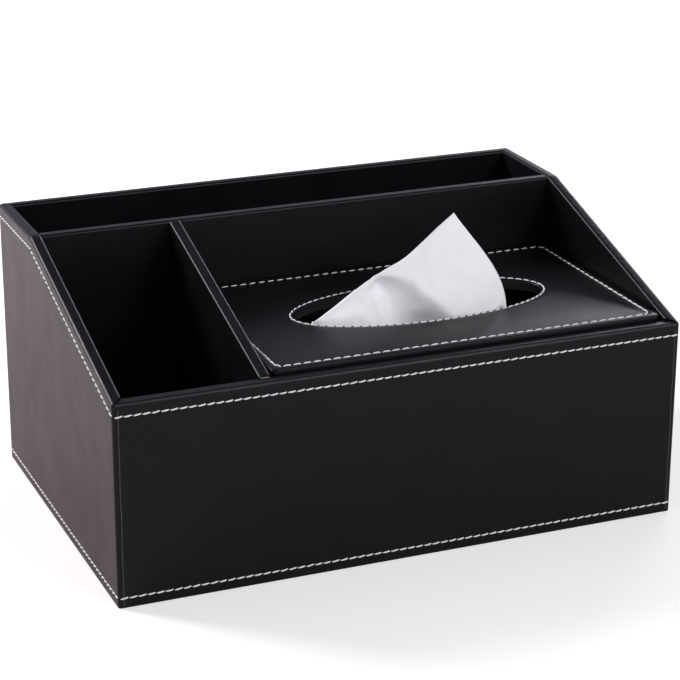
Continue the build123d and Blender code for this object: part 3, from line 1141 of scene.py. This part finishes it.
# Each layer has a scale across, a scale upwards, a place in the noise and a height in mm.
soft_creases = ((55, 70, 0.3, 0.7), (115, 125, 9.1, 0.6))
fine_creases, gathers = (200, 220, 5.3, 0.4), (330, 60, 2.2, 0.5)
gather_height = 16 * mm


def right_of(point, first, second):
    """How far a point lies to the right of the line from the first point to the second."""
    run = (second - first).normalized()
    offset = point - first
    return run.y * offset.x - run.x * offset.y


def quarter_wave(value):
    return math.sin(math.radians(90) * min(value, 1))


def hollow_depth(x, z):
    """Depth of the hollow: nothing above its ridge, most along its valley, and a soft way out."""
    point = Vector((x, z))
    below_ridge = min(right_of(point, hollow_start, ridge_turn),
                      right_of(point, ridge_turn, ridge_end))
    left_of_valley = right_of(point, hollow_start, valley_end)
    if below_ridge <= 0:
        return 0.0
    deepest = hollow_most * quarter_wave((point - hollow_start).length / hollow_reach)
    if left_of_valley <= 0:
        width = max(below_ridge - left_of_valley, close)
        return deepest * quarter_wave(below_ridge / width) ** 1.3
    soft_top = smooth_step(below_ridge / top_fade)
    soft_left = smooth_step((x - left_fade_start) / left_fade)
    return deepest * (1 - smooth_step(left_of_valley / valley_fade)) * soft_top * soft_left


def crease_layer(point, across, upwards, place, crease_height):
    return noise.noise(Vector((point.x * across, point.z * upwards, place))) * crease_height * mm


def crease(point):
    """How far the paper is moved towards the back at a point."""
    shown = smooth_step((point.z - stack_level - 4 * mm) / (22 * mm))
    soft = sum(crease_layer(point, *values) for values in soft_creases)
    near_rim = smooth_step((lid_high.z + gather_height - point.z) / gather_height)
    fine = crease_layer(point, *fine_creases) + crease_layer(point, *gathers) * near_rim
    return (hollow_depth(point.x, point.z) + soft) * shown + fine


def corner_fold(point):
    """The right lower corner is turned back below a short slanting crease."""
    below = right_of(Vector((point.x, point.z)), fold_start, fold_end)
    above_stack = smooth_step((point.z - 80 * mm) / (12 * mm))
    return fold_depth * smooth_step(below / fold_depth) * above_stack


print(f"hollow {hollow_depth(0.02, 0.105) / mm:.1f} mm deep half way down")

# %% [markdown]
# ## Laying the sheet
#
# Each column of a flat grid becomes one strip, with its points spaced evenly, and is then moved
# back by the creases. They are weaker near the free edges, because a pulled edge doesn't wave.

# %% Lay the grid
strips, rows = 110, 110
edge_rows, edge_strips = 5, 4
ply_thickness = 0.35 * mm

clear_selection()
bpy.ops.mesh.primitive_grid_add(x_subdivisions=strips, y_subdivisions=rows, size=1)
sheet = done(bpy.context.object, "drawn_tissue")
lines = []
for strip in range(strips + 1):
    path, lengths = measure(strip_points(strip / strips))
    line = [point_along(path, lengths, lengths[-1] * row / rows)[0] for row in range(rows + 1)]
    for row, point in enumerate(line):
        from_edge = smooth_step(min(row / edge_rows, strip / edge_strips))
        back = crease(point) * (0.25 + 0.75 * from_edge)
        back += corner_fold(point) * smooth_step(strip / edge_strips)
        line[row] = point + Vector((0, back, 0))
    lines.append(line)
for vert in sheet.data.vertices:
    strip, row = round((vert.co.x + 0.5) * strips), round((0.5 - vert.co.y) * rows)
    vert.co = lines[strip][row]
ply = sheet.modifiers.new("ply", "SOLIDIFY")
ply.thickness = ply_thickness
ply.offset = 0
apply_modifiers(sheet)
bpy.ops.object.shade_smooth()
sheet.data.materials.append(tissue_paper)
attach(sheet, "box")
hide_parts("tissue_sheet")

# %% [markdown]
# ## Finishes for the pieces of the frame that show
#
# The dividers, floors, lining, boards and strips keep their measured shapes. Each gets the finish
# it has on the real box: leather outside, bare board where nobody looks, stained wood under the
# lid, cloth underneath.

# %% Give every frame piece its finish
finish_of = {"slot_divider_cover": black_leather, "remote_divider_cover": black_leather,
             "slot_floor_lining": lining_leather, "remote_floor_lining": lining_leather,
             "tissue_floor_lining": lining_leather, "lid_lining": underside_cloth,
             "underside_sheet": underside_cloth, "lid_rest_left": strip_wood,
             "lid_rest_right": strip_wood}
for name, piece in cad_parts.items():
    for slot in piece.material_slots:
        slot.material = finish_of.get(name, fibreboard)
print("frame pieces finished:", len(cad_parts))
